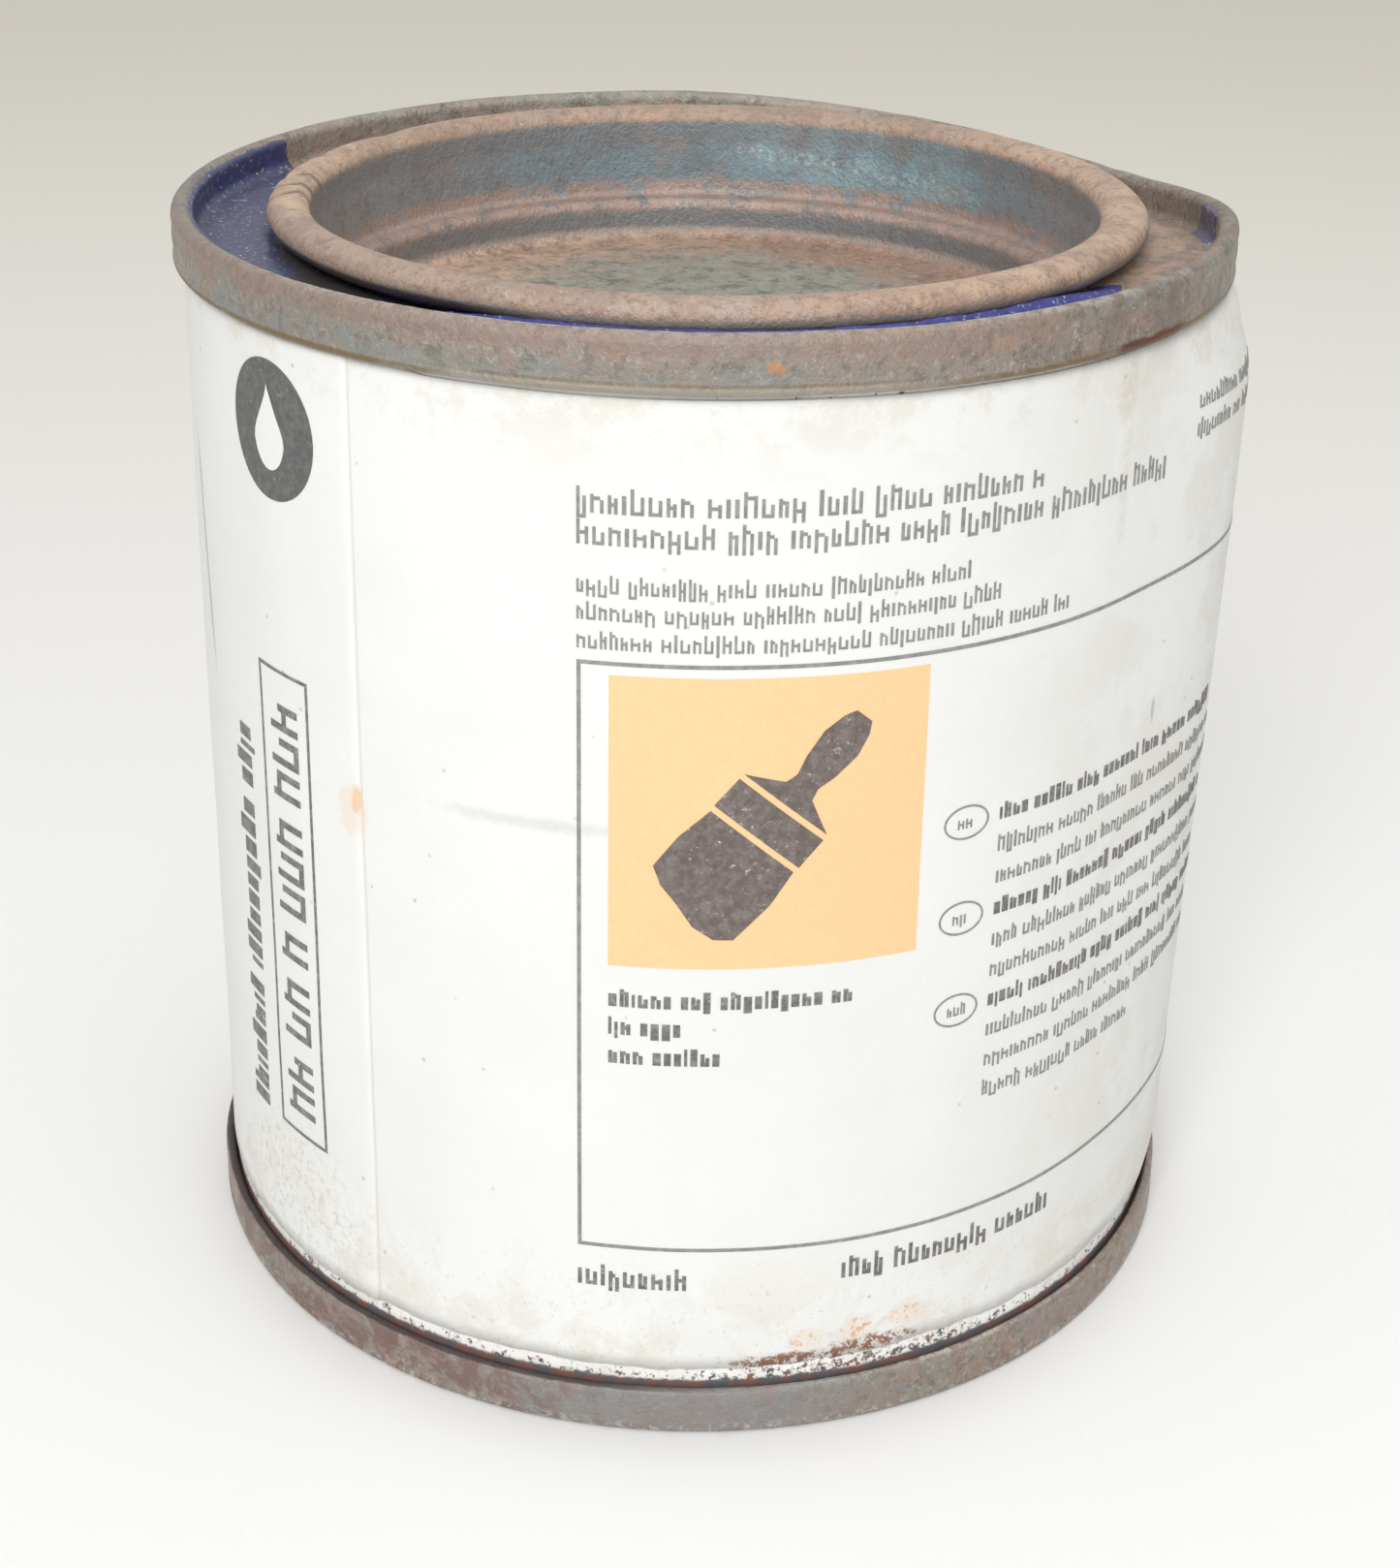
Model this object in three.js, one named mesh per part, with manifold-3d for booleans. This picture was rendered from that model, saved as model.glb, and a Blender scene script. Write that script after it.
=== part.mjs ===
// A half-litre lever-lid paint can: a welded tinplate body, a ring and a bottom end joined to it by double
// seams, a friction lid that is levered out of the ring, a wrapped paper label, and the paint left inside.
// Millimetres, +Z up. The origin is the centre of the base, on the surface that the can stands on.
// The front of the label faces -Y.
import * as THREE from "three";
import { mergeVertices } from "three/addons/utils/BufferGeometryUtils.js";
import Module from "manifold-3d";

const wasm = await Module();
wasm.setup();

// Driving dimensions
const CAN_HEIGHT = 93; // base to the top of the upper double seam
const SEAM_RADIUS = 44.25; // outside of both double seams
const SEAM_HEIGHT = 4.5;
const PLATE = 0.25; // tinplate thickness
const LAYER_GAP = 0.1; // room between neighbouring layers of a seam
const PAPER_GAP = 0.05; // room under the label and between its lapped ends
const MOUTH_RADIUS = 33.35; // inside of the ring's friction wall
const MOUTH_DEPTH = 8.8; // rim top to the lowest point of the friction wall
const CHANNEL_DEPTH = 3.0; // rim top to the floor of the channel round the lid
const PLUG_GAP = 0.115; // radial room between the lid's wall and the friction wall
const LID_DEPTH = 12.05; // top of the lid's curl to its panel
const CURL_RADIUS = 36.75; // outside of the lid's curl
const CURL_HEIGHT = 2.7;
const CURL_TOP = 93.25;
const SHOULDER_WIDTH = 1.65; // the step in the lid's wall
const SHOULDER_HEIGHT = 4.4; // panel to the top of the step
const BASE_FLAT = 0.5; // width of the flat that the base stands on
const BASE_RECESS = 4.2; // base to the outer panel of the bottom end
const BASE_STEP = 1.0; // how far the middle of the bottom end is pressed back down
const BASE_STEP_RADIUS = 35;
const LABEL_LOW = 5.9;
const LABEL_HIGH = 88.1;
const LABEL_THICKNESS = 0.15;
const LABEL_EDGE_DEG = -36.5; // where the outer end of the label lies, from the front, towards +X
const LABEL_OVERLAP_DEG = 10;
const PAINT_DEPTH = 6; // the paint left in the can
const FILM = 0.25; // dried paint in the channel
const AROUND = 40; // facets round the axis

// Layers of a double seam, from the outside in, at the middle of each plate
const LAYER = PLATE + LAYER_GAP;
const seamLayer = (n) => SEAM_RADIUS - PLATE / 2 - n * LAYER;
const OUTER_WALL = seamLayer(0);
const BODY_HOOK = seamLayer(1);
const END_HOOK = seamLayer(2);
const BODY_WALL = seamLayer(3);
const CHUCK_WALL = seamLayer(4);
const OUTER_FOLD = (OUTER_WALL - CHUCK_WALL) / 2; // radius of the fold over the whole seam
const HOOK_FOLD = LAYER; // radius of the two inner folds
const FOLD_CENTRE = OUTER_FOLD + PLATE / 2; // depth of the fold's centre below the seam's end
const HOOK_CENTRE = HOOK_FOLD + PLATE / 2;
const BODY_HOOK_END = SEAM_HEIGHT - 1.0; // depth of each hook's tip below the seam's end
const END_HOOK_END = 1.8;
const BODY_OUTSIDE = BODY_WALL + PLATE / 2;
const BODY_INSIDE = BODY_WALL - PLATE / 2;

const point = (r, z) => new THREE.Vector2(r, z);

// Points of an arc in the (radius, height) plane, angles in degrees from the outward direction.
function arc(r, z, radius, from, to, steps, height = radius) {
  const points = [];
  for (let i = 0; i <= steps; i++) {
    const a = THREE.MathUtils.degToRad(from + ((to - from) * i) / steps);
    points.push(point(r + radius * Math.cos(a), z + height * Math.sin(a)));
  }
  return points;
}

// The outline of a plate that follows a line: one side of the line, then the other side back again.
function plate(line) {
  const side = (sign) =>
    line.map((p, i) => {
      const before = line[Math.max(i - 1, 0)];
      const after = line[Math.min(i + 1, line.length - 1)];
      const into = i > 0 ? p.clone().sub(before).normalize() : after.clone().sub(p).normalize();
      const out = i < line.length - 1 ? after.clone().sub(p).normalize() : into;
      const normal = point(-(into.y + out.y), into.x + out.x).normalize();
      const reach = PLATE / 2 / Math.max(normal.dot(point(-into.y, into.x)), 0.5);
      return p.clone().addScaledVector(normal, sign * reach);
    });
  return [...side(1), ...side(-1).reverse()];
}

// A plate whose line starts on the axis keeps its first points on the axis.
function dish(line) {
  const outline = plate(line);
  outline[0].x = 0;
  outline[outline.length - 1].x = 0;
  return outline;
}

// Turns an outline round the Z axis. A closed outline is one that doesn't touch the axis.
function revolve(outline) {
  const area = THREE.ShapeUtils.area(outline);
  const ordered = area > 0 ? [...outline] : [...outline].reverse();
  if (ordered[0].x > 0 || ordered[ordered.length - 1].x > 0) ordered.push(ordered[0].clone());
  const geometry = new THREE.LatheGeometry(ordered, AROUND);
  return geometry.rotateX(Math.PI / 2);
}

// An upright prism of a plan outline, from one height to another.
function upright(plan, low, high) {
  const geometry = new THREE.ExtrudeGeometry(new THREE.Shape(plan), {
    depth: high - low,
    bevelEnabled: false,
  });
  return geometry.translate(0, 0, low);
}

// A direction from the axis: 0 is the front (-Y) and positive angles turn towards +X.
function around(degrees, radius) {
  const a = THREE.MathUtils.degToRad(degrees);
  return point(radius * Math.sin(a), -radius * Math.cos(a));
}

function solid(geometry) {
  const bare = geometry.clone().deleteAttribute("normal").deleteAttribute("uv");
  const merged = mergeVertices(bare, 1e-4);
  const vertProperties = merged.attributes.position.array;
  return new wasm.Manifold(
    new wasm.Mesh({ numProp: 3, vertProperties, triVerts: new Uint32Array(merged.index.array) }),
  );
}

// The part of a ring that lies between two directions, cut out of the whole ring by a wedge.
function sector(ring, from, to) {
  const reach = 2 * SEAM_RADIUS;
  const sides = [from, (from + to) / 2, to].map((degrees) => around(degrees, reach));
  const wedge = upright([point(0, 0), ...sides], 0, CAN_HEIGHT);
  const mesh = solid(ring).intersect(solid(wedge)).getMesh();
  const geometry = new THREE.BufferGeometry();
  geometry.setAttribute("position", new THREE.BufferAttribute(mesh.vertProperties, 3));
  geometry.setIndex(new THREE.BufferAttribute(mesh.triVerts, 1));
  geometry.computeVertexNormals();
  return geometry;
}

// Tinplate tube with a hook at each end, folded outwards and back.
function canBody() {
  const foot = FOLD_CENTRE;
  const head = CAN_HEIGHT - FOLD_CENTRE;
  return revolve(
    plate([
      point(BODY_HOOK, BODY_HOOK_END),
      ...arc(END_HOOK, foot, HOOK_FOLD, 0, -180, 4),
      ...arc(END_HOOK, head, HOOK_FOLD, 180, 0, 4),
      point(BODY_HOOK, CAN_HEIGHT - BODY_HOOK_END),
    ]),
  );
}

// Ring with a hemmed friction wall round the mouth, a flat channel, and the upper seam's outer fold.
function topRing() {
  const wall = MOUTH_RADIUS + PLATE / 2;
  const hem = 0.45;
  const hemCentre = CAN_HEIGHT - MOUTH_DEPTH + hem + PLATE / 2;
  const hemTip = hemCentre + 1.0;
  const floor = CAN_HEIGHT - CHANNEL_DEPTH - PLATE / 2;
  const lip = 0.7;
  const corner = 1.0;
  return revolve(
    plate([
      point(wall + 2 * hem, hemTip),
      ...arc(wall + hem, hemCentre, hem, 0, -180, 4),
      ...arc(wall + lip, floor - lip, lip, 180, 90, 2),
      ...arc(CHUCK_WALL - corner, floor + corner, corner, -90, 0, 3),
      ...arc(END_HOOK, CAN_HEIGHT - FOLD_CENTRE, OUTER_FOLD, 180, 0, 5),
      ...arc(BODY_HOOK, CAN_HEIGHT - SEAM_HEIGHT + HOOK_CENTRE, HOOK_FOLD, 0, -180, 4),
      point(END_HOOK, CAN_HEIGHT - END_HOOK_END),
    ]),
  );
}

// The height of the bottom end's panel, from the middle outwards, at the middle of the plate.
function basePanel() {
  const step = BASE_RECESS - BASE_STEP;
  return [
    point(0, step),
    point(BASE_STEP_RADIUS - 3, step),
    point(BASE_STEP_RADIUS - 2, step + 0.35),
    point(BASE_STEP_RADIUS - 1, BASE_RECESS - 0.1),
    point(BASE_STEP_RADIUS, BASE_RECESS),
  ];
}

// Bottom end: a stepped panel, a countersink, and the lower seam's outer fold, flat where it stands.
function bottomEnd() {
  const corner = 0.8;
  const bend = OUTER_FOLD - BASE_FLAT / 2;
  const low = bend + PLATE / 2;
  return revolve(
    dish([
      ...basePanel(),
      ...arc(CHUCK_WALL - corner, BASE_RECESS - corner, corner, 90, 0, 3),
      ...arc(CHUCK_WALL + bend, low, bend, 180, 270, 2),
      ...arc(OUTER_WALL - bend, low, bend, -90, 0, 2),
      ...arc(BODY_HOOK, SEAM_HEIGHT - HOOK_CENTRE, HOOK_FOLD, 0, 180, 4),
      point(END_HOOK, END_HOOK_END),
    ]),
  );
}

// Lid: a flat panel, a stepped plug wall, and an outward curl.
function lid() {
  const panel = CURL_TOP - LID_DEPTH - PLATE / 2;
  const wall = MOUTH_RADIUS - PLUG_GAP - PLATE / 2;
  const fillet = 1.3;
  const bend = SHOULDER_WIDTH / 2;
  const neck = wall - SHOULDER_WIDTH;
  const shoulder = panel + SHOULDER_HEIGHT + PLATE / 2;
  const curlWide = (CURL_RADIUS - PLATE / 2 - wall) / 2;
  const curlHigh = (CURL_HEIGHT - PLATE) / 2;
  const curlCentre = CURL_TOP - CURL_HEIGHT / 2;
  return revolve(
    dish([
      point(0, panel),
      ...arc(neck - fillet, panel + fillet, fillet, -90, 0, 3),
      ...arc(neck + bend, shoulder - 2 * bend, bend, 180, 90, 2),
      ...arc(wall - bend, shoulder, bend, -90, 0, 2).slice(1),
      ...arc(wall + curlWide, curlCentre, curlWide, 180, -110, 11, curlHigh),
    ]),
  );
}

// Sealing compound, in the space between the tip of the end's hook and the fold of the body's.
function compound(toHeight) {
  const half = PLATE / 2;
  const shallow = FOLD_CENTRE + 0.2;
  const deep = END_HOOK_END - 0.15;
  return revolve([
    point(END_HOOK - half, toHeight(shallow)),
    point(END_HOOK + half, toHeight(shallow)),
    point(END_HOOK + half, toHeight(deep)),
    point(END_HOOK - half, toHeight(deep)),
  ]);
}

// Paper label, wound once round the body, with its outer end lapped over its inner end.
function label() {
  const inner = BODY_OUTSIDE + PAPER_GAP;
  const lift = LABEL_THICKNESS + PAPER_GAP;
  const start = LABEL_EDGE_DEG - LABEL_OVERLAP_DEG;
  const rampEnd = start + 360;
  const end = LABEL_EDGE_DEG + 360;
  const step = 360 / AROUND;
  const angles = new Set([start, LABEL_EDGE_DEG, rampEnd - 1, rampEnd, end]);
  for (let a = Math.ceil(start / step) * step; a < end; a += step) angles.add(a);
  const sorted = [...angles].sort((a, b) => a - b);
  const raised = (a) => inner + (a >= rampEnd ? lift : 0);
  const inside = sorted.map((a) => around(a, raised(a)));
  const outside = sorted.map((a) => around(a, raised(a) + LABEL_THICKNESS));
  return upright([...inside, ...outside.reverse()], LABEL_LOW, LABEL_HIGH);
}

// The paint left in the can, standing a little higher where it clings to the wall.
function paintResidue() {
  const side = BODY_INSIDE - LAYER_GAP;
  const clear = PLATE / 2 + LAYER_GAP + 0.02;
  const bed = basePanel().map((p) => point(p.x, p.y + clear));
  const level = BASE_RECESS + PAINT_DEPTH;
  return revolve([
    ...bed,
    point(side, BASE_RECESS + clear),
    point(side, level + 1.6),
    point(side - 0.6, level + 0.6),
    point(side - 2.4, level),
    point(0, level),
  ]);
}

// Dried paint in the channel, on the seam's inner wall and on the floor, between two directions.
function channelPaint(from, to, high, inner) {
  const side = CHUCK_WALL - PLATE / 2 - LAYER_GAP;
  const low = CAN_HEIGHT - CHANNEL_DEPTH + LAYER_GAP;
  const corner = 1.0;
  const outline = [
    point(inner, low),
    point(side - corner, low),
    point(side, low + corner),
    point(side, high),
    point(side - FILM, high),
    point(side - FILM, low + corner + FILM / 2),
    point(side - corner - FILM / 2, low + FILM),
    point(inner, low + FILM),
  ];
  return sector(revolve(outline), from, to);
}

const finish = (color, roughness, metalness) =>
  new THREE.MeshStandardMaterial({ color, roughness, metalness });
const tinplate = finish(0x7a6d66, 0.55, 0.7);
const lacquer = finish(0xe9e7e0, 0.45, 0.1);
const paper = finish(0xf2f1ec, 0.7, 0);
const sealant = finish(0x4d4a45, 0.8, 0);
const paint = finish(0x1f2360, 0.35, 0);

const can = new THREE.Group();
function add(name, geometry, material) {
  const mesh = new THREE.Mesh(geometry, material);
  mesh.name = name;
  can.add(mesh);
}

add("can_body", canBody(), lacquer);
add("bottom_end", bottomEnd(), tinplate);
add("top_ring", topRing(), tinplate);
add("lid", lid(), tinplate);
add("bottom_seam_compound", compound((depth) => depth), sealant);
add("top_seam_compound", compound((depth) => CAN_HEIGHT - depth), sealant);
add("label", label(), paper);
add("paint_residue", paintResidue(), paint);
const FILM_TOP = CAN_HEIGHT - 0.8;
const FLOOR_CORNER = CHUCK_WALL - PLATE / 2 - 1.0;
add("channel_paint_left", channelPaint(-117, -62, FILM_TOP, CURL_RADIUS + 0.3), paint);
add("channel_paint_right", channelPaint(84, 98, FILM_TOP, FLOOR_CORNER - 0.6), paint);

export default can;
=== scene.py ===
"""The looks of a used half-litre paint can: rusty seams and lid, dried paint, and a stained label.

The frame gives the main sizes. Each visible piece is rebuilt here as a finer mesh on the same body.
Angles are in degrees round the can: 0 is the front of the label (-Y), and they grow towards +X.
"""

import math
import random

import bmesh
import bpy
from mathutils import Matrix, Vector, noise


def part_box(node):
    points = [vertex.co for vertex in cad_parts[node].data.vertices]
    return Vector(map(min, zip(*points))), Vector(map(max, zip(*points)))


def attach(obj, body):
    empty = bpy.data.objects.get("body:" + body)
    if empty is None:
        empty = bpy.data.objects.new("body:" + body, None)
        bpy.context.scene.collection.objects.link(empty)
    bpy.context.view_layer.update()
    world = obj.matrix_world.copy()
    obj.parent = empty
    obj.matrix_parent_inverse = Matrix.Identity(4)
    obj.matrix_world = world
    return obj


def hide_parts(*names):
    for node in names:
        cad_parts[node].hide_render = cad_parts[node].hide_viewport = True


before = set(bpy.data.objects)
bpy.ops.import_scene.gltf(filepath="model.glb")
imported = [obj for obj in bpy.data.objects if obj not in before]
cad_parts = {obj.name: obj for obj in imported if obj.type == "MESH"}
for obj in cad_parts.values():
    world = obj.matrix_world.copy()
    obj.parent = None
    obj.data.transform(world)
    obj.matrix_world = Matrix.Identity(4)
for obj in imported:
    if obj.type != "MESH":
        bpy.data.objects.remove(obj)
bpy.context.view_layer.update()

MM = 0.001


def high(node):
    """The top of a CAD node, in millimetres."""
    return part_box(node)[1].z / MM


def wide(node):
    """The outer radius of a round CAD node, in millimetres."""
    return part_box(node)[1].x / MM


def low(node):
    """The foot of a CAD node, in millimetres."""
    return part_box(node)[0].z / MM


# Sizes in millimetres, from the frame
SEAM_R = wide("top_ring")
RIM_TOP = high("top_ring")
SEAM_TALL = high("bottom_end")
CURL_R = wide("lid")
CURL_TOP = high("lid")
PANEL_LOW = low("lid")
LABEL_LOW = low("label")
LABEL_HIGH = high("label")
WALL_LOW = low("top_ring")

# Other sizes in millimetres: the label's face, the tinplate and its folds
LABEL_R = 43.4
PLATE = 0.25
LAYER = 0.35  # from one fold of a seam to the next
OUTER_WALL = SEAM_R - PLATE / 2
BODY_HOOK, END_HOOK, BODY_WALL, CHUCK_WALL = (OUTER_WALL - n * LAYER for n in (1, 2, 3, 4))
SEAM_FOLD = 2 * LAYER
FOLD_DEPTH = SEAM_FOLD + PLATE / 2
HOOK_BEND = LAYER + PLATE / 2
CHANNEL_FLOOR = RIM_TOP - 3.0
MOUTH_R = 33.35
LID_GAP = 0.115
PLUG_R = MOUTH_R - LID_GAP - PLATE / 2
LID_SHIFT = 0.25  # how far the lid sits to the right in the worn mouth
SEAM_LOW = RIM_TOP - SEAM_TALL
CURL_TALL = 2.7
CURL_MIDDLE = CURL_TOP - CURL_TALL / 2
CURL_HALF = (CURL_R - PLATE / 2 - PLUG_R) / 2

STEPS = 480  # facets round the can
SWEEP_STEP = 0.75  # degrees from one outline of a swept piece to the next


# ---- shape helpers


def clamp(value, least=0.0, most=1.0):
    return max(least, min(most, value))


def smooth(start, end, value):
    """0 before start, 1 after end, with a soft turn between them."""
    t = clamp((value - start) / (end - start))
    return t * t * (3 - 2 * t)


def polar(theta, radius, height):
    """A point in metres from an angle in degrees and a radius and height in millimetres."""
    a = math.radians(theta)
    return Vector((radius * math.sin(a), -radius * math.cos(a), height)) * MM


def arc(r, z, radius, start, end, steps, tall=None):
    """Points of an arc in the (radius, height) plane. 0 degrees points outwards and 90 up."""
    tall = radius if tall is None else tall
    angles = (math.radians(start + (end - start) * i / steps) for i in range(steps + 1))
    return [(r + radius * math.cos(a), z + tall * math.sin(a)) for a in angles]


def heading(line, i):
    """The direction of a line of (radius, height) points at one of them."""
    before, after = line[max(i - 1, 0)], line[min(i + 1, len(line) - 1)]
    return Vector((after[0] - before[0], after[1] - before[1])).normalized()


def plate(line):
    """The closed outline of a plate whose middle follows a line."""
    sides = ([], [])
    for i, (r, z) in enumerate(line):
        way = heading(line, i)
        for side, sign in zip(sides, (1, -1)):
            side.append((r - sign * way.y * PLATE / 2, z + sign * way.x * PLATE / 2))
    return sides[0] + sides[1][::-1]


def ripple(theta, z, size, seed):
    """Smooth noise on the can's wall, about -1 to 1, with features of that size in millimetres."""
    p = polar(theta, LABEL_R, z) / (size * MM)
    return noise.noise(p + Vector((seed, seed * 1.7, 0)))


def add(name, data):
    """Puts a mesh, a lamp or a camera in the scene."""
    made = bpy.data.objects.new(name, data)
    bpy.context.collection.objects.link(made)
    return made


def new_object(name, verts, faces, material, shade=True):
    """A mesh with its normals outwards, in the scene."""
    mesh = bpy.data.meshes.new(name)
    mesh.from_pydata(verts, [], faces)
    mesh.validate()
    bm = bmesh.new()
    bm.from_mesh(mesh)
    bmesh.ops.remove_doubles(bm, verts=bm.verts, dist=1e-7)
    bmesh.ops.recalc_face_normals(bm, faces=bm.faces)
    bm.to_mesh(mesh)
    bm.free()
    for polygon in mesh.polygons:
        polygon.use_smooth = shade
    mesh.materials.append(material)
    return add(name, mesh)


def grid_faces(rows, columns, wrap_rows=False, wrap_columns=False):
    """Quads between neighbouring points of a grid that is stored row by row."""
    faces = []
    for i in range(rows if wrap_rows else rows - 1):
        for j in range(columns if wrap_columns else columns - 1):
            k, m = (i + 1) % rows, (j + 1) % columns
            faces.append((i * columns + j, i * columns + m, k * columns + m, k * columns + j))
    return faces


def turned(name, outline, material, warp=None, steps=STEPS):
    """Turns a closed (radius, height) outline round the can's axis. warp moves each point of it."""
    verts = []
    for i in range(steps):
        theta = 360 * i / steps - 180
        for r, z in outline:
            verts.append(polar(*(warp(theta, r, z) if warp else (theta, r, z))))
    return new_object(name, verts, grid_faces(steps, len(outline), True, True), material)


def swept(name, outline_at, start, end, material):
    """Sweeps a closed outline, which may change on the way, between two angles, and caps both ends."""
    columns = round((end - start) / SWEEP_STEP)
    rings = [outline_at(start + (end - start) * i / columns) for i in range(columns + 1)]
    verts = [polar(*point) for ring in rings for point in ring]
    size = len(rings[0])
    faces = grid_faces(columns + 1, size, False, True)
    faces += [tuple(range(size)), tuple(columns * size + k for k in range(size))]
    return new_object(name, verts, faces, material)


# ---- dents


DENT_START, DENT_LOW, DENT_END = 84.0, 121.0, 183.0
DENT_DEPTH = 2.95
BULGE = 2.65
GROOVE_LOW, GROOVE_HIGH, GROOVE_DEPTH = 0.7, 0.9, 0.1  # a groove above the rim's lower edge in front

# The kinks in the lid's curl: angle, depth and width. The first three are sharp.
KINKS = ((-84, 0.5, 1.6), (-89, 0.75, 1.2), (-95, 0.6, 1.4))
KINKS += ((-108, 0.3, 2.0), (-124, 0.2, 3.0), (52, 0.12, 3.0))


def rim_drop(theta):
    """How far the rim was pressed down, behind on the right, where the can was levered open."""
    turn = theta % 360
    near = (turn - DENT_START) / (DENT_LOW - DENT_START)
    far = clamp((DENT_END - turn) / (DENT_END - DENT_LOW)) ** 1.2
    depth = clamp(min(near, far))
    return -DENT_DEPTH * (depth - 0.12 * smooth(0.75, 1, depth))


def sag(theta, z):
    """How far the wall and its label follow the rim down: all the way at the seam, less lower down."""
    return rim_drop(theta) * smooth(55, 89, z)


def bulge(theta, z):
    """How far the wall buckled outwards below the dent. The seam holds it back."""
    turn = theta % 360
    around = smooth(50, 78, turn) * (1 - smooth(118, 150, turn))
    up = 0.25 + 0.75 * clamp((z - 8) / 68)
    held = (1 - 0.6 * smooth(80, LABEL_HIGH, z)) * (1 - smooth(LABEL_HIGH - 0.6, SEAM_LOW - 0.1, z))
    return BULGE * around * up * held * smooth(4, 9, z)


def ring_warp(theta, r, z):
    """The seam is a little uneven all round, and it follows the dent. The mouth keeps its shape."""
    if r > 43.8 and GROOVE_LOW < z - SEAM_LOW < GROOVE_HIGH:
        r -= GROOVE_DEPTH * smooth(-32, -22, theta) * (1 - smooth(14, 28, theta))
    share = smooth(37.5, 42.2, r)
    uneven = 0.05 * ripple(theta, 60, 9, 3.1) + 0.03 * ripple(theta, 60, 3, 7.7)
    z += share * (rim_drop(theta) + uneven)
    r += share * (0.04 * ripple(theta, 20, 7, 5.3) - 0.12 * rim_drop(theta) * smooth(41, 43, r))
    return theta, r, z


def body_warp(theta, r, z):
    """The wall buckles below the dent, and its upper hook follows the seam that it is folded into."""
    hooked = smooth(SEAM_LOW - 3, SEAM_LOW, z)
    _, seam_r, seam_z = ring_warp(theta, r, z)
    wall_z = z + sag(theta, z)
    return theta, r + bulge(theta, z) + (seam_r - r) * hooked, wall_z + (seam_z - wall_z) * hooked


def end_warp(theta, r, z):
    """The lower seam is a little uneven. The ring that the can stands on stays flat."""
    share = smooth(41, 43, r) * smooth(0.2, 2.0, z)
    return theta, r + share * 0.06 * ripple(theta, z, 6, 9.9), z


def lid_warp(theta, r, z):
    """The curl has a few kinks from being levered, and the lid sits a little to the right."""
    share = smooth(PLUG_R + 0.5, PLUG_R + 2.5, r)
    for at, depth, width in KINKS:
        z -= share * depth * math.exp(-(((theta - at) / width) ** 2))
    z += share * 0.05 * ripple(theta, 30, 8, 1.3)
    r += share * 0.05 * ripple(theta, 50, 9, 4.4)
    x, y, height = polar(theta, r, z) / MM
    x += LID_SHIFT * smooth(PLUG_R + 0.3, PLUG_R + 1.5, r)
    return math.degrees(math.atan2(x, -y)), math.hypot(x, y), height


# ---- the label's surface


LAP = -36.4  # the lapped edge
LAP_WIDTH = 10.0
LAP_RAMP = 12.0  # the outer end climbs over the inner end across this angle
LAP_GAP = 0.05
PAPER = 0.15
CREASE_ANGLE, CREASE_LEAN, CREASE_MIDDLE = -68.3, 0.178, 57  # degrees, degrees for 1 mm up, height


def crease_angle(z):
    """Where the paper has creased on the left: it leans a little."""
    return CREASE_ANGLE - CREASE_LEAN * (z - CREASE_MIDDLE)


def label_radius(theta, z):
    """The label's outer surface."""
    turn = (theta - LAP) % 360
    r = LABEL_R + bulge(theta, z)
    r += 0.1 * ripple(theta, z, 14, 2.2) + 0.05 * ripple(theta, z * 0.3, 6, 8.8)
    r += 0.2 * smooth(360 - LAP_WIDTH - LAP_RAMP, 360 - LAP_WIDTH, turn)
    along = smooth(50, 57, z) * (1 - smooth(74, 80, z))
    return r - 0.5 * along * math.exp(-(((theta - crease_angle(z)) / 0.9) ** 2))


def on_label(s, z, lift=0.0):
    """A point of the label from its distance round the front and its height, both in millimetres."""
    theta = math.degrees(s / LABEL_R)
    return polar(theta, label_radius(theta, z) + lift, z + sag(theta, z))


def label_edges(theta):
    """The lowest and highest heights of the label at an angle."""
    bottom = LABEL_LOW - 0.05 + 0.2 * smooth(5, 32, theta) + 0.2 * ripple(theta, 5, 5, 6.1)
    bottom += 0.2 * ripple(theta, 5, 1.6, 2.9)
    top = LABEL_HIGH - 0.05 + 0.06 * ripple(theta, 88, 12, 4.9)
    top += 0.5 * (1 - smooth(-32, -27, theta)) * smooth(-120, -70, theta)
    return bottom, top


def label_mesh(material):
    """The paper: one closed sheet whose inner end lies under its outer end."""
    rows = 60
    start, end = LAP - LAP_WIDTH, LAP + 360
    columns = round((end - start) / SWEEP_STEP) + 1
    verts = []
    for side in (0, 1):
        for i in range(columns):
            theta = start + (end - start) * i / (columns - 1)
            bottom, top = label_edges(theta if theta < 180 else theta - 360)
            for j in range(rows + 1):
                z = bottom + (top - bottom) * j / rows
                r = label_radius(theta, z)
                if theta <= LAP:
                    r = r - PAPER - LAP_GAP
                verts.append(polar(theta, r - side * PAPER, z + sag(theta, z)))
    size = columns * (rows + 1)
    outer = grid_faces(columns, rows + 1)
    faces = outer + [tuple(size + k for k in reversed(f)) for f in outer]
    border = list(range(rows + 1)) + [i * (rows + 1) + rows for i in range(1, columns)]
    border += [(columns - 1) * (rows + 1) + j for j in range(rows - 1, -1, -1)]
    border += [i * (rows + 1) for i in range(columns - 2, 0, -1)]
    for a, b in zip(border, border[1:] + border[:1]):
        faces.append((a, b, b + size, a + size))
    return new_object("label_paper", verts, faces, material)


# ---- printing


INK_LIFT, INK_SINK = 0.045, 0.02  # how far ink stands out of the paper and goes into it


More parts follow.
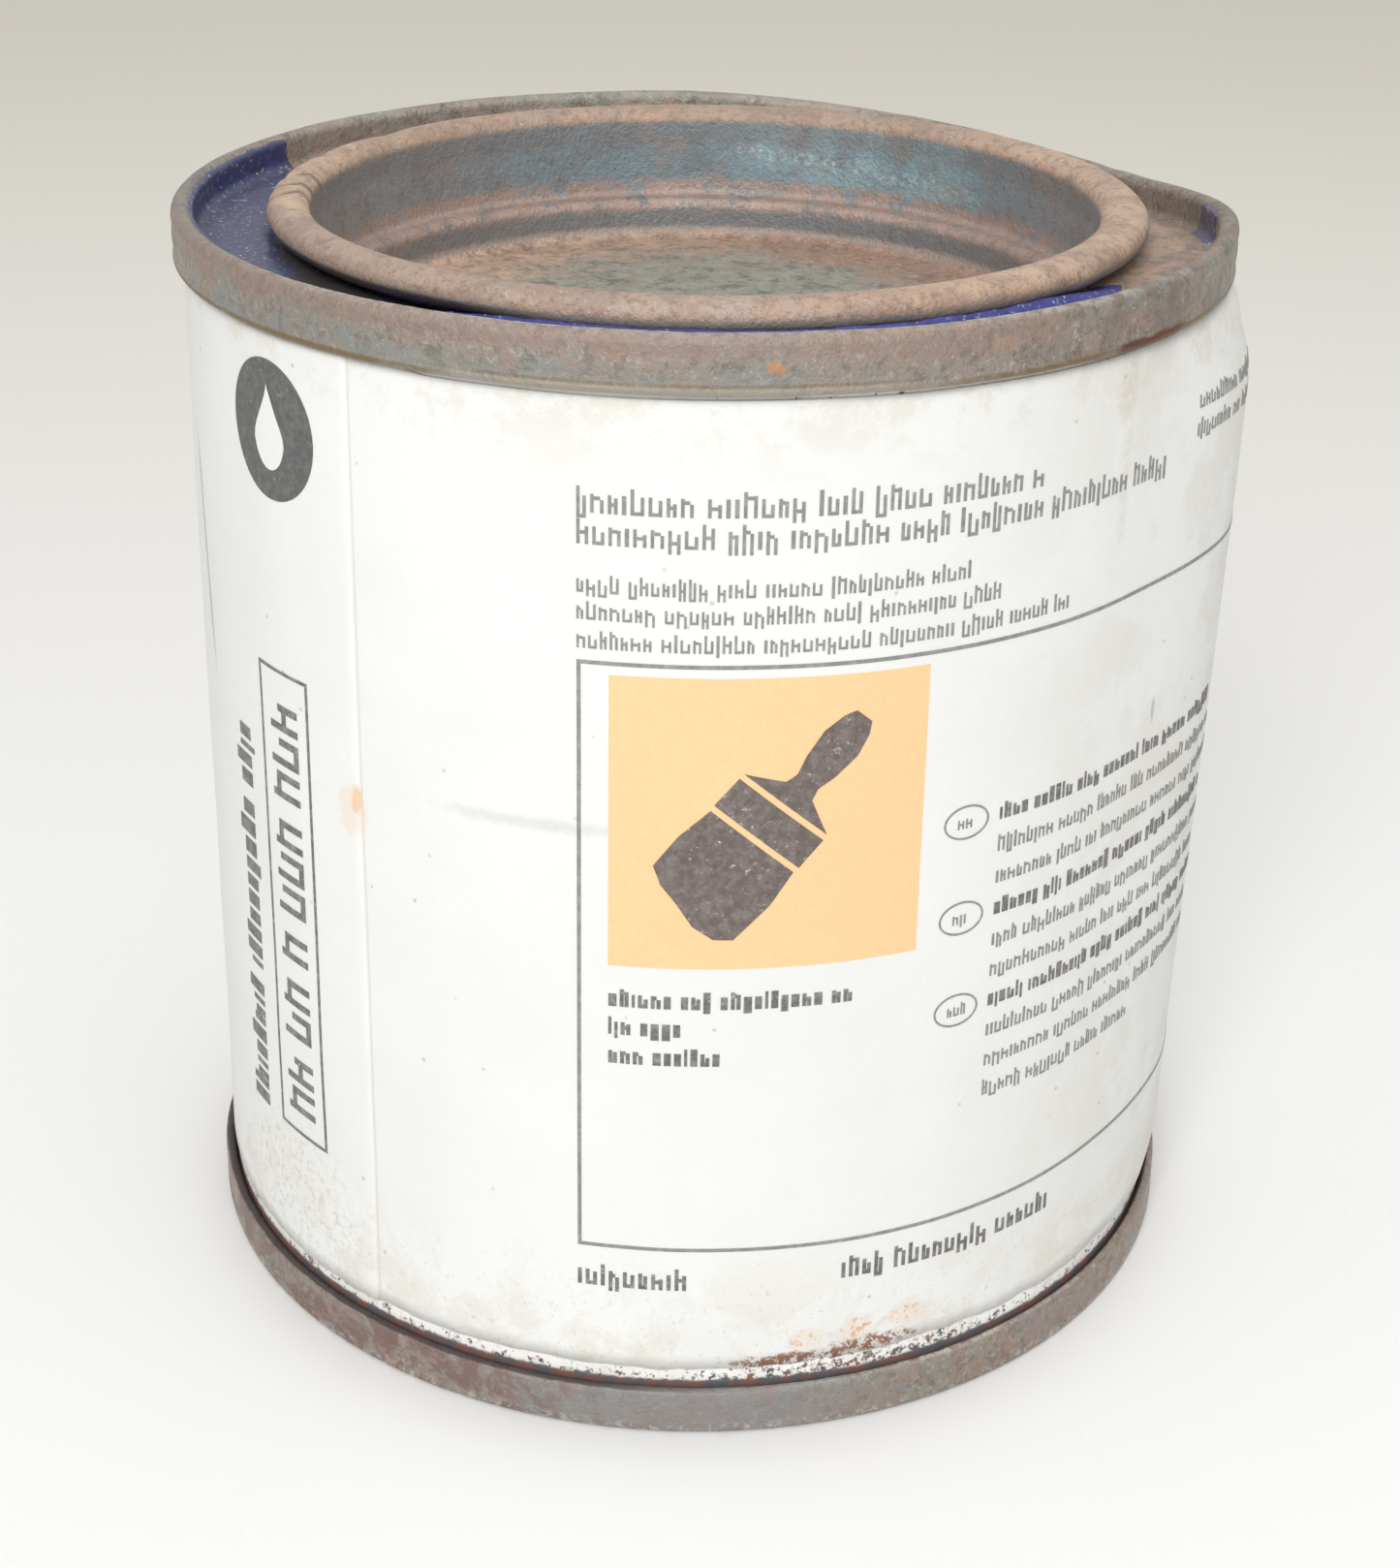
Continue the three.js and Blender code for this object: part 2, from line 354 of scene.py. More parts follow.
def printed(name, shapes, material, lift):
    """One layer of ink: flat (distance round the front, height) shapes, cut small and laid on the label."""
    bm = bmesh.new()
    for outline in shapes:
        bm.faces.new([bm.verts.new((s, z, 0)) for s, z in outline])
    bmesh.ops.triangulate(bm, faces=[f for f in bm.faces if len(f.verts) > 4])
    reach = [v.co for v in bm.verts]
    for axis, step in ((0, 1.0), (1, 2.0)):
        first, last = (fn(c[axis] for c in reach) for fn in (min, max))
        normal = Vector((1, 0, 0)) if axis == 0 else Vector((0, 1, 0))
        for k in range(math.ceil(first / step), math.floor(last / step) + 1):
            whole = bm.verts[:] + bm.edges[:] + bm.faces[:]
            bmesh.ops.bisect_plane(bm, geom=whole, dist=1e-5, plane_co=normal * (k * step), plane_no=normal)
    bmesh.ops.recalc_face_normals(bm, faces=bm.faces)
    for face in bm.faces:
        if face.normal.z < 0:
            face.normal_flip()
    under = bmesh.ops.duplicate(bm, geom=bm.verts[:] + bm.edges[:] + bm.faces[:])
    copies = {g for g in under["geom"] if isinstance(g, bmesh.types.BMFace)}
    pairs, twin = under["edge_map"], under["vert_map"]
    rims = [e for e in bm.edges if len(e.link_faces) == 1 and e in pairs and e.link_faces[0] not in copies]
    for edge in rims:
        a, b = edge.verts
        bm.faces.new((a, b, twin[b], twin[a]))
    for face in copies:
        for vert in face.verts:
            vert.co.z = -1
    for vert in bm.verts:
        vert.co = on_label(vert.co.x, vert.co.y, -INK_SINK if vert.co.z < 0 else lift)
    bmesh.ops.recalc_face_normals(bm, faces=bm.faces)
    mesh = bpy.data.meshes.new(name)
    bm.to_mesh(mesh)
    bm.free()
    mesh.materials.append(material)
    return add(name, mesh)


def bar(s0, s1, z0, z1):
    """A filled rectangle."""
    return [(s0, z0), (s1, z0), (s1, z1), (s0, z1)]


def frame_bars(s0, s1, z0, z1, line):
    """The four sides of a ruled box."""
    return [
        bar(s0, s1, z0, z0 + line),
        bar(s0, s1, z1 - line, z1),
        bar(s0, s0 + line, z0 + line, z1 - line),
        bar(s1 - line, s1, z0 + line, z1 - line),
    ]


def words(rng, start, end, base, tall, bold=1.0):
    """A line of made-up writing: word-like runs of plain marks, with a few taller and a few lower ones."""
    marks, s = [], start
    while s < end - tall * 0.5:
        for _ in range(rng.randint(3, 10)):
            w = tall * rng.choice((0.16, 0.36, 0.42, 0.46, 0.5))
            if s + w > end:
                break
            top = base + tall * rng.choice((0.72, 0.72, 0.72, 1.0))
            bottom = base - tall * rng.choice((0, 0, 0, 0, 0, 0.22))
            marks += letter_mark(s, s + w, bottom, top, tall * 0.13 * bold, rng)
            s += w + tall * 0.16
        s += tall * 0.36
    return marks


def letter_mark(s0, s1, z0, z1, stroke, rng):
    """One mark: two uprights and a cross stroke that make no letter, or a single upright if it is narrow."""
    w = s1 - s0
    if w < 2.2 * stroke:
        return [bar(s0, s1, z0, z1)]
    second_top = z0 + (z1 - z0) * rng.choice((0.7, 0.85))
    level = z0 + (z1 - z0) * rng.choice((0.0, 0.4, 0.7))
    cross = bar(s0 + stroke, s1 - stroke, level, level + stroke)
    return [bar(s0, s0 + stroke, z0, z1), bar(s1 - stroke, s1, z0, second_top), cross]


def upright(marks, s_base, z_base):
    """Turns marks so that they read upwards, from (s, z) = (0, 0) to the place given."""
    return [[(s_base - z, z_base + s) for s, z in mark] for mark in marks]


def ellipse(s, z, a, b, steps=32):
    """A filled ellipse round a point, with its two half widths."""
    turns = (2 * math.pi * k / steps for k in range(steps))
    return [(s + a * math.cos(t), z + b * math.sin(t)) for t in turns]


def ellipse_line(s, z, a, b, line):
    """The outline of an ellipse, as short pieces of a line."""
    outer, inner = ellipse(s, z, a, b), ellipse(s, z, a - line, b - line)
    return [[outer[k - 1], outer[k], inner[k], inner[k - 1]] for k in range(len(outer))]


def turn_shape(points, s, z, degrees, scale):
    """A shape turned, scaled and moved to a place."""
    c, n = math.cos(math.radians(degrees)) * scale, math.sin(math.radians(degrees)) * scale
    return [(s + x * c - y * n, z + x * n + y * c) for x, y in points]


def drop_shape():
    """A paint drop, about 2 high, round below and pointed above."""
    points, steps = [], 28
    for k in range(steps):
        a = 2 * math.pi * k / steps
        x, y = math.sin(a), -math.cos(a)
        pinch = clamp((y + 0.2) / 1.2)
        points.append((0.72 * x * (1 - pinch**1.5), y * (1 + 0.35 * pinch)))
    return points


def brush_shapes():
    """A flat paint brush, about 24 long, bristles down: handle, band and bristles."""
    half = [(0.9, 12.6), (1.5, 11.6), (2.0, 9.5), (1.7, 6.8), (1.2, 5.0), (1.5, 3.9), (3.2, 3.0), (4.8, 2.2)]
    handle = [(-x, y) for x, y in half] + half[::-1]
    bristles = [(-4.8, -2.3), (-5.3, -6), (-5.1, -9.6), (-3.4, -10.6), (-1.2, -11.1), (1.4, -11.9)]
    bristles += [(3.6, -11.7), (5.0, -10.6), (5.3, -6), (4.8, -2.3)]
    return [handle, bar(-4.9, 4.9, -1.7, 1.6), bristles]


# ---- materials


class Surface:
    """Builds one material. Each method adds a node and returns the socket that carries its result."""

    def __init__(self, name):
        self.material = bpy.data.materials.new(name)
        self.material.use_nodes = True
        self.nodes = self.material.node_tree.nodes
        self.links = self.material.node_tree.links
        self.shader = self.nodes["Principled BSDF"]
        place = self.nodes.new("ShaderNodeTexCoord").outputs["Object"]
        self.place = self.vector("SCALE", place, scale=1 / MM)
        self.x, self.y, self.z = self.split(self.place)
        self.radius = self.length(self.x, self.y)
        front_first = self.math("ARCTAN2", self.x, self.times(self.y, -1))
        self.theta = self.times(front_first, 180 / math.pi)
        self.up = self.split(self.nodes.new("ShaderNodeNewGeometry").outputs["Normal"])[2]

    def plug(self, socket, value):
        if isinstance(value, bpy.types.NodeSocket):
            self.links.new(value, socket)
        elif isinstance(value, tuple) and len(value) == 3 and socket.type == "RGBA":
            socket.default_value = (*value, 1)
        else:
            socket.default_value = value

    def math(self, operation, a, b=0.0, c=0.0):
        node = self.nodes.new("ShaderNodeMath")
        node.operation = operation
        for socket, value in zip(node.inputs, (a, b, c)):
            self.plug(socket, value)
        return node.outputs[0]

    def times(self, *factors):
        result = factors[0]
        for factor in factors[1:]:
            result = self.math("MULTIPLY", result, factor)
        return result

    def plus(self, a, b):
        return self.math("ADD", a, b)

    def minus(self, a, b):
        return self.math("SUBTRACT", a, b)

    def scaled(self, value, factor, base):
        """A value times a factor, plus a base."""
        return self.math("MULTIPLY_ADD", value, factor, base)

    def length(self, a, b):
        return self.math("SQRT", self.plus(self.times(a, a), self.times(b, b)))

    def most(self, *values):
        result = values[0]
        for value in values[1:]:
            result = self.math("MAXIMUM", result, value)
        return result

    def rest(self, value):
        """One minus a value."""
        return self.minus(1, value)

    def vector(self, operation, a, b=(0, 0, 0), scale=1.0):
        node = self.nodes.new("ShaderNodeVectorMath")
        node.operation = operation
        self.plug(node.inputs[0], a)
        self.plug(node.inputs[1], b)
        node.inputs["Scale"].default_value = scale
        return node.outputs[0]

    def split(self, value):
        node = self.nodes.new("ShaderNodeSeparateXYZ")
        self.links.new(value, node.inputs[0])
        return node.outputs[:]

    def join(self, x, y, z):
        node = self.nodes.new("ShaderNodeCombineXYZ")
        for socket, value in zip(node.inputs, (x, y, z)):
            self.plug(socket, value)
        return node.outputs[0]

    def noise(self, size, rough=0.65, warp=0.0, place=None, detail=5.0):
        """Noise from 0 to 1 with features of a size in millimetres."""
        node = self.nodes.new("ShaderNodeTexNoise")
        self.links.new(place or self.place, node.inputs["Vector"])
        node.inputs["Scale"].default_value = 1 / size
        node.inputs["Detail"].default_value = detail
        node.inputs["Roughness"].default_value = rough
        node.inputs["Distortion"].default_value = warp
        return node.outputs["Fac"]

    def patches(self, size, start, end, rough=0.65, warp=0.0, place=None):
        """Ragged patches: 0 where noise of a size in millimetres is at start, and 1 where it is at end."""
        return self.band(self.noise(size, rough, warp, place), start, end)

    def specks(self, spacing, size):
        """Round specks, each up to a size in millimetres across, about a spacing apart."""
        node = self.nodes.new("ShaderNodeTexVoronoi")
        self.links.new(self.place, node.inputs["Vector"])
        node.inputs["Scale"].default_value = 1 / spacing
        share = size / (2 * spacing)
        return self.band(node.outputs["Distance"], share, share * 0.4)

    def band(self, value, start, end):
        """0 at start and 1 at end, with a soft turn; start may be the larger."""
        node = self.nodes.new("ShaderNodeMapRange")
        node.interpolation_type = "SMOOTHSTEP"
        falls = start > end
        self.plug(node.inputs["Value"], value)
        node.inputs["From Min"].default_value = min(start, end)
        node.inputs["From Max"].default_value = max(start, end)
        node.inputs["To Min"].default_value = 1.0 if falls else 0.0
        node.inputs["To Max"].default_value = 0.0 if falls else 1.0
        return node.outputs[0]

    def between(self, value, a, b, c, d):
        """0 outside a..d and 1 inside b..c."""
        return self.times(self.band(value, a, b), self.band(value, d, c))

    def around(self, a, b, c, d):
        """0 outside a..d and 1 inside b..c, as angles round the can."""
        return self.between(self.theta, a, b, c, d)

    def behind(self, start, end):
        """0 in front of one angle and 1 behind another, on both sides of the can."""
        return self.band(self.math("ABSOLUTE", self.theta), start, end)

    def wave(self, value, size, amount, rough=0.65):
        """A value made uneven by noise, by up to about half an amount either way."""
        return self.scaled(self.noise(size, rough), amount, self.minus(value, amount / 2))

    def spot(self, theta, z, width, height, ragged=2.0, edge=0.3):
        """A blot with a ragged edge on the wall. Width and height are half sizes in millimetres."""
        across = self.times(self.minus(self.theta, theta), LABEL_R * math.pi / 180 / width)
        along = self.times(self.minus(self.z, z), 1 / height)
        return self.band(self.wave(self.length(across, along), ragged, 2.0, 0.75), 1.0 + edge, 1.0 - edge)

    def mix(self, share, a, b):
        node = self.nodes.new("ShaderNodeMix")
        node.data_type = "RGBA"
        self.plug(node.inputs["Factor"], share)
        self.plug(node.inputs[6], a)
        self.plug(node.inputs[7], b)
        return node.outputs[2]

    def tints(self, color, *layers):
        """A colour turned into others one after another.

        A layer is a tone and the shares whose product it covers. A tuple among them is what patches() takes.
        """
        for tone, *shares in layers:
            shares = [self.patches(*share) if isinstance(share, tuple) else share for share in shares]
            color = self.mix(self.times(*shares), color, tone)
        return color

    def bump(self, height, distance):
        """A bump whose height runs over that many millimetres."""
        node = self.nodes.new("ShaderNodeBump")
        node.inputs["Distance"].default_value = distance * MM
        self.plug(node.inputs["Height"], height)
        return node.outputs[0]

    def finish(self, color, roughness, metallic=0.0, normal=None, specular=0.5):
        for name, value in (("Base Color", color), ("Roughness", roughness), ("Metallic", metallic)):
            self.plug(self.shader.inputs[name], value)
        self.shader.inputs["Specular IOR Level"].default_value = specular
        if normal:
            self.links.new(normal, self.shader.inputs["Normal"])
        return self.material


# Colours of the tin and of what is on it
COOL_TIN = (0.3, 0.295, 0.265)
WARM_TIN = (0.33, 0.28, 0.235)
DARK_TIN = (0.15, 0.125, 0.105)
PINK_RUST = (0.37, 0.25, 0.195)
TAN_RUST = (0.62, 0.44, 0.32)
RED_RUST = (0.27, 0.145, 0.095)
ORANGE_RUST = (0.55, 0.27, 0.11)
OCHRE = (0.2, 0.13, 0.045)
PALE = (0.66, 0.63, 0.57)
BLUE_WALL = (0.26, 0.34, 0.39)
TEAL_WALL = (0.335, 0.5, 0.56)
GREY_WALL = (0.36, 0.365, 0.375)
PANEL_GREY = (0.29, 0.285, 0.23)
PANEL_GREEN = (0.37, 0.365, 0.31)
INDIGO = (0.022, 0.028, 0.105)
PAINT_DUST = (0.07, 0.074, 0.13)


def tin(s):
    """Thinly rusted tin: cool and warm patches with pink rust, dark pits and pale scratches."""
    return s.tints(
        s.mix(s.patches(11, 0.42, 0.58, warp=0.5), WARM_TIN, COOL_TIN),
        (PINK_RUST, (3.0, 0.48, 0.6, 0.74, 0.6), 0.75),
        (DARK_TIN, (1.1, 0.5, 0.6, 0.8), 0.65),
        (PALE, (0.6, 0.54, 0.64, 0.8), 0.45),
    )


def seam_tin(s):
    """The tin of a double seam: a pale painted highlight along its crest in front, where the tin shows wear,
    and scattered orange rust.
    """
    crest_wear_and_highlight = s.times(s.band(s.up, 0.6, 0.98), s.band(s.radius, 42.4, 42.8), s.band(s.y, -18, -38))
    return s.tints(
        tin(s),
        # pale along the crest in front: a painted highlight where the tin shows wear
        (PALE, crest_wear_and_highlight, (1.0, 0.42, 0.56, 0.8), 0.8),
        (ORANGE_RUST, s.specks(4.0, 1.0), (7, 0.5, 0.58), 0.6),
    )


def finish_tin(s, color, dull=0.0):
    """Tin's gloss and grain. dull is the share that has no metal left."""
    grain = s.noise(0.4, 0.75)
    height = s.plus(s.times(s.noise(1.6, 0.7), 1.4), grain)
    roughness = s.scaled(s.noise(6, 0.6), 0.3, 0.3)
    metallic = s.scaled(dull, -0.45, 0.5)
    return s.finish(color, roughness, metallic, s.bump(height, 0.12))


def rim_metal():
    """The rim and the channel: a seam showing wear with a painted highlight on its crest, gathered rust with
    a painted shadow under the curl, and a lower edge that changes round the can.
    """
    s = Surface("rim_rusted_tin")
    height = s.minus(s.z, SEAM_LOW)
    rolling = s.wave(height, 6, 3)
    outside = s.band(s.radius, 43.3, 43.6)
    front = s.around(-30, -22, 14, 26)
    floor = s.times(s.band(s.radius, 42.2, 41.6), s.band(s.up, 0.3, 0.8))
    dust_and_shade = s.tints(
        s.mix(s.patches(2.4, 0.44, 0.57, 0.76), (0.42, 0.27, 0.19), (0.22, 0.175, 0.145)),
        ((0.55, 0.42, 0.34), (0.8, 0.54, 0.62, 0.8), 0.6),
        # near black on the channel floor at the front left: a painted shadow under the lid's curl
        ((0.02, 0.018, 0.03), s.band(s.wave(s.radius, 3, 2), 38.6, 37.8), s.around(-88, -70, -30, -15), 0.95),
    )
    wiped = s.most(s.spot(-80, RIM_TOP - 1.6, 4.5, 1.3), s.times(s.spot(-92, RIM_TOP - 0.8, 7, 0.8), 0.7))
    sides = s.most(s.around(-110, -90, -30, -20), s.around(18, 30, 72, 82))
    edge = s.times(s.band(s.wave(height, 4, 0.3), 0.7, 0.45), sides)
    groove = s.times(s.between(height, 0.65, 0.75, 0.9, 1.0), front, 0.5)
    red = s.times(s.band(s.wave(height, 1.5, 0.8), 0.95, 0.6), s.around(43, 45, 54, 57))
    color = s.tints(
        seam_tin(s),
        ((0.34, 0.245, 0.205), s.band(rolling, 1.8, 3.4), outside, s.around(-100, -70, 20, 50), 0.6),
        ((0.28, 0.29, 0.275), s.band(rolling, 2.6, 1.2), outside, s.around(-75, -50, 0, 40), 0.5),
        ((0.2, 0.165, 0.135), s.around(25, 50, 90, 110), (5, 0.4, 0.6), 0.7),
        ((0.46, 0.43, 0.37), s.behind(105, 130), (6, 0.42, 0.58), 0.5),
        # rust that gathered in the channel with a painted shadow under the lid's curl at the front left, and
        # paint that was wiped over the rim on the left
        (dust_and_shade, floor, 0.9),
        ((0.16, 0.165, 0.24), wiped, 0.65),
        # rust spots on the front
        (ORANGE_RUST, s.spot(6.8, SEAM_LOW + 2.2, 0.7, 0.4, 0.8), 0.8),
        ((0.5, 0.31, 0.2), s.spot(29, SEAM_LOW + 2.7, 1.2, 0.6, 1.0), 0.35),
        # the lower edge: a pale lip in front, ochre at both sides, and dark red rust in one place
        ((0.42, 0.36, 0.28), outside, s.band(height, 0.75, 0.6), front, 0.5),
        (OCHRE, outside, s.most(edge, groove), (3, 0.3, 0.5), 0.85),
        ((0.13, 0.042, 0.016), outside, red, 0.95),
    )
    return finish_tin(s, color, s.times(floor, 0.9))


def base_metal():
    """The bottom end: greyer in front, redder and with painted shade in the crevice on the left, pale where
    it stands.
    """
    s = Surface("base_rusted_tin")
    # painted shade in the crevice between the seam and the wall: inside the fold all round, and along the
    # seam's top on the left
    inner = s.times(s.band(s.wave(s.radius, 2, 0.3), 43.75, 43.6), s.band(s.z, 3.5, 3.7))
    brim_shade = s.band(s.wave(s.z, 2, 0.3), SEAM_TALL - 0.55, SEAM_TALL - 0.4)
    brim_shade = s.times(s.around(-176, -150, -12, 12), brim_shade)
    color = s.tints(
        seam_tin(s),
        ((0.3, 0.3, 0.3), s.around(-34, -12, 8, 30), 0.75),
        ((0.33, 0.25, 0.24), (4, 0.47, 0.6, 0.72, 0.6), 0.6),
        ((0.22, 0.125, 0.11), (3.2, 0.45, 0.58, 0.72, 0.6), s.around(-178, -150, -25, 0), 0.75),
        # the crevice above the seam: painted shade
        ((0.06, 0.045, 0.05), s.most(inner, brim_shade), 0.9),
        (PALE, s.band(s.z, 1.4, 0.5), (0.8, 0.5, 0.58, 0.8), 0.6),
    )
    return finish_tin(s, color)


def lid_wall(s):
    """The lid's plug wall from above: grey-blue, teal behind on the right under painted highlight specks,
    with painted highlights on its shoulder and along its fillet, and painted shade under the curl.
    """
    height = s.minus(s.z, PANEL_LOW)
    slanting = s.scaled(s.minus(176, s.theta), 0.045, s.z)
    highlight_specks = s.times(s.around(126, 136, 172, 178), s.between(s.wave(slanting, 2, 1.6), 88.4, 89.2, 89.8, 90.3))
    shoulder = s.between(s.wave(height, 2.4, 1.4), 2.6, 3.4, 5.0, 6.0)
    return s.tints(
        s.mix(s.around(-160, -120, 100, 135), BLUE_WALL, GREY_WALL),
        ((0.25, 0.235, 0.23), (3, 0.48, 0.6, 0.74), 0.45),
        ((0.235, 0.23, 0.23), s.band(height, 4.6, 3.8), 0.8),
        (TEAL_WALL, s.around(126, 140, 168, 179), s.band(height, 4.8, 5.8), (5, 0.36, 0.56, 0.7), 0.8),
        # pale specks behind on the right: painted highlights
        ((0.62, 0.71, 0.71), highlight_specks, (0.6, 0.49, 0.58, 0.8), 0.6),
        ((0.53, 0.375, 0.31), shoulder, (1.8, 0.36, 0.52, 0.76), 0.85),
        # pale specks on the shoulder at the back: painted highlights
        (PALE, shoulder, s.behind(165, 176), (0.5, 0.5, 0.6, 0.8), 0.45),
        # darker at the top of the wall: painted shade under the curl
        ((0.24, 0.225, 0.22), s.band(s.wave(s.z, 4, 2.0), 89.2, 90.6), 0.5),
        ((0.36, 0.29, 0.25), (4, 0.5, 0.62, 0.76, 0.6), 0.4),
        # a pale line along the fillet above the panel: a painted highlight
        ((0.44, 0.36, 0.31), s.band(s.wave(height, 2, 0.6), 1.6, 1.0), 0.8),
        (DARK_TIN, (0.9, 0.53, 0.64, 0.8), 0.3),
    )


def lid_panel(s):
    """The lid's panel: green-grey in the middle, with rust in fine radial streaks towards its edge."""
    away = s.math("DIVIDE", 46, s.radius)
    fibre_place = s.join(s.times(s.x, away), s.times(s.y, away), s.times(s.radius, 0.45))
    fibres = s.noise(1.5, 0.8, 0.0, fibre_place)
    middle = s.tints(
        s.mix(s.patches(1.4, 0.44, 0.56, 0.8), PANEL_GREY, PANEL_GREEN),
        ((0.13, 0.14, 0.115), (2.4, 0.5, 0.6, 0.8), 0.75),
        ((0.33, 0.27, 0.21), (3.5, 0.5, 0.6, 0.76, 0.5), 0.55),
    )
    rust = s.tints(
        s.mix(s.band(s.wave(s.x, 8, 24), -14, 12), TAN_RUST, (0.41, 0.25, 0.185)),
        ((0.4, 0.265, 0.215), s.band(s.y, 14, 26), (4, 0.4, 0.56, 0.74), 0.7),
        (RED_RUST, s.band(fibres, 0.5, 0.6), (4, 0.42, 0.56), 0.65),
        ((0.21, 0.16, 0.125), (1.2, 0.5, 0.6, 0.8), 0.7),
        ((0.3, 0.28, 0.24), (5, 0.5, 0.6, 0.74, 0.6), 0.5),
        ((0.62, 0.46, 0.36), (0.9, 0.52, 0.62, 0.8), 0.5),
    )
    from_middle = s.length(s.x, s.plus(s.y, -6))  # the worn middle lies a little behind the centre
    edge = s.wave(s.wave(from_middle, 7, 16), 1.8, 10, 0.8)
    return s.tints(s.mix(s.band(edge, 14.0, 23.0), middle, rust), (PALE, (0.45, 0.6, 0.68, 0.8), 0.6))


def lid_curl(s):
    """The lid's curl: tan and pink rust with dark grain, browner to the left of the front, with rust and
    painted shade in its kinks, a painted highlight on a flattened patch at the left, and painted shade on its
    underside, near black at the front left.
    """
    facet_highlight = s.times(s.around(-95, -90, -72, -66), s.band(s.wave(s.radius, 4, 0.6), 35.5, 34.9))
    uneven = s.wave(s.theta, 3, 2.5)
    kinks = [s.between(uneven, at - 1.2, at - 0.4, at + 0.1, at + 1.6) for at, _, _ in KINKS[:3]]
    return s.tints(
        s.mix(s.around(-40, -8, 14, 34), (0.6, 0.43, 0.315), (0.49, 0.385, 0.325)),
        ((0.42, 0.32, 0.255), s.behind(110, 150), 0.9),
        ((0.53, 0.34, 0.245), (4.0, 0.44, 0.6, 0.7), 0.6),
        ((0.42, 0.32, 0.275), s.around(-84, -64, -28, -12), 0.65),
        ((0.6, 0.44, 0.3), s.around(-116, -104, -94, -88), (5, 0.4, 0.56), 0.5),
        # a light tan patch on the flattened inner side at the left: a painted highlight
        ((0.66, 0.49, 0.34), facet_highlight, 0.85),
        ((0.28, 0.19, 0.14), (0.9, 0.5, 0.6, 0.8), 0.65),
        ((0.28, 0.205, 0.165), (6.0, 0.46, 0.58, 0.7, 0.5), 0.4),
        # dark lines across the three sharp kinks: rust with painted shade in the creases
        *[((0.17, 0.115, 0.085), kink, 0.8) for kink in kinks],
        (PALE, (0.5, 0.56, 0.66, 0.8), 0.45),
        # the underside greyer and darker: painted shade
        (COOL_TIN, s.band(s.up, 0.2, -0.3), 0.8),
        # near black under the curl at the front left: a painted shadow
        ((0.05, 0.04, 0.04), s.band(s.up, 0.0, -0.4), s.around(-95, -80, -30, -15), 0.9),
    )


def lid_metal():
    """The lid, put together from its wall, its panel and its curl, with paint on its underside."""
    s = Surface("lid_rusted_tin")
    color = lid_wall(s)
    panel = s.times(s.band(s.wave(s.z, 1.5, 0.7), PANEL_LOW + 1.3, PANEL_LOW + 0.6), s.band(s.up, 0.3, 0.7))
    color = s.mix(panel, color, lid_panel(s))
    curl = s.times(s.band(s.radius, PLUG_R, PLUG_R + 0.5), s.band(s.wave(s.z, 1.2, 1.0), 89.9, 90.6))
    curl = s.most(curl, s.band(s.wave(s.z, 2, 0.6), 91.6, 92.4))
    color = s.mix(curl, color, lid_curl(s))
    # dried paint on the underside, which shows when the lid is off
    below = s.times(s.band(s.up, -0.2, -0.5), s.band(s.z, CURL_TOP - 4, CURL_TOP - 6))
    outside = s.band(s.radius, PLUG_R - 0.05, PLUG_R + 0.05)
    outside = s.times(outside, s.band(s.z, CURL_TOP - 4.5, CURL_TOP - 7))
    wetted = s.times(s.most(below, outside), s.patches(8, 0.38, 0.46, warp=0.8))
    color = s.mix(wetted, color, INDIGO)
    return finish_tin(s, color, s.most(wetted, s.times(panel, 0.7), s.times(curl, 0.5)))


def lacquer():
    """White lacquer on the body, chipped and rusted close to the lower seam, with a dark band of rust and
    painted shade just above it; bare and splashed inside.
    """
    s = Surface("white_lacquer_chipped")
    near = s.times(s.band(s.z, 6.6, 4.7), 0.09)
    rusty_side = s.times(s.around(-2, 8, 28, 40), 0.05)
    chips_and_shade = s.band(s.plus(s.plus(s.noise(0.6, 0.8, 0.3), near), rusty_side), 0.645, 0.67)
    # a dark band just above the lower seam: rust mixed with painted shade
    chips_and_shade = s.most(chips_and_shade, s.band(s.wave(s.z, 1.6, 0.6), 4.7, 4.4))
    rust = s.mix(s.patches(1.6, 0.42, 0.58), (0.12, 0.125, 0.145), (0.25, 0.12, 0.09))
    color = s.mix(s.patches(6, 0.4, 0.7), (0.9, 0.89, 0.86), (0.81, 0.79, 0.74))
    color = s.mix(chips_and_shade, color, rust)
    inside = s.times(s.band(s.radius, 43.1, 43.0), s.band(s.z, SEAM_LOW - 0.5, SEAM_LOW - 2.5))
    splash_top = s.scaled(s.noise(9, 0.65, 1.0), 26, 8)
    splashed = s.band(s.minus(s.z, splash_top), 1.5, -1.5)
    bare = s.mix(s.patches(7, 0.4, 0.6), (0.38, 0.37, 0.35), (0.3, 0.26, 0.22))
    color = s.mix(inside, color, s.mix(splashed, bare, INDIGO))
    return s.finish(color, s.scaled(chips_and_shade, 0.35, 0.35), 0.0, s.bump(s.rest(chips_and_shade), 0.08))


def indigo_paint(name, dusty=1.0, shade=INDIGO):
    """Dried indigo paint, with dust on what faces up and a sprinkling of pale grit."""
    s = Surface(name)
    skin = s.noise(1.2, 0.6)
    grit = s.most(s.specks(1.2, 0.3), s.times(s.patches(0.5, 0.585, 0.635, 0.8), 0.6))
    color = s.tints(
        s.mix(s.band(skin, 0.35, 0.7), shade, tuple(1.7 * c for c in shade)),
        (PAINT_DUST, s.band(s.wave(s.up, 2.2, 1.8, 0.75), 0.35, 1.0), 0.8 * dusty),
        ((0.66, 0.67, 0.72), grit, 0.9),
    )
    return s.finish(color, s.scaled(skin, 0.3, 0.25), 0.0, s.bump(skin, 0.08))


